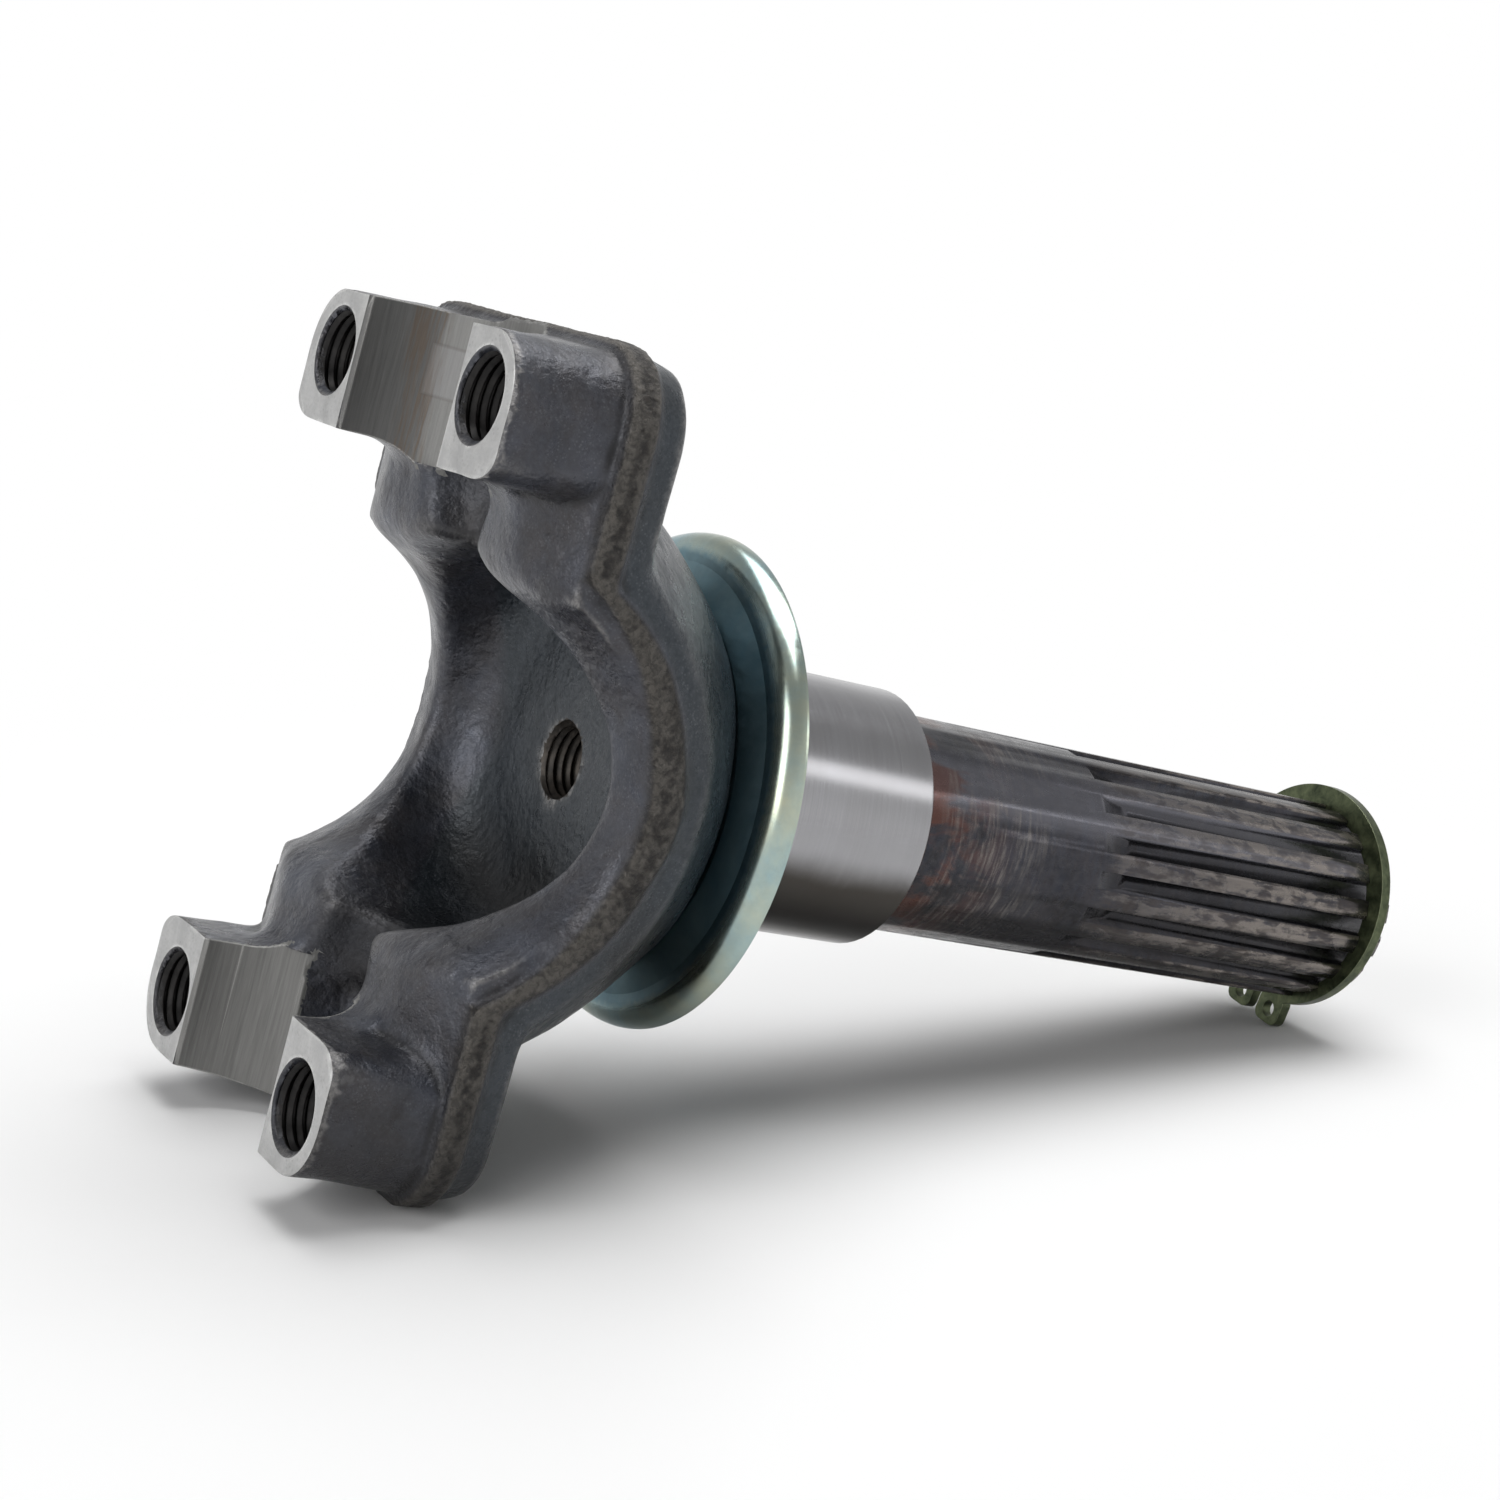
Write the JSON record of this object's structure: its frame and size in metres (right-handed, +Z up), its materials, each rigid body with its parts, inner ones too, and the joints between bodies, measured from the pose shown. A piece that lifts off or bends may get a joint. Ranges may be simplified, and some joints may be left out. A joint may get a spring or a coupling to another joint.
{
  "type": "forged end yoke with splined stub shaft",
  "caption": "Forged half-round end yoke with a ground journal and splined stub shaft, carrying a pressed dust slinger and an open retaining ring.",
  "frame": {"origin": "middle of the part's box in X and Y, on the floor it lies on", "axes": "+X along the part's length, from the ears to the spline end, parallel to the floor; +Z up; the shaft slopes down to +X as the part rests on its lower ear and on the ring's lugs"},
  "size_m": [0.1754, 0.0644, 0.1007],
  "materials": {
    "forged_steel": "as-forged dark scale, milled tips and saddles, ground journal",
    "zinc_plate": "bright blue-green zinc plate",
    "ring_steel": "olive green plated spring steel"
  },
  "bodies": {
    "root": {"yoke": "forged_steel", "dust_slinger": "zinc_plate", "retaining_ring": "ring_steel"}
  },
  "joints": []
}
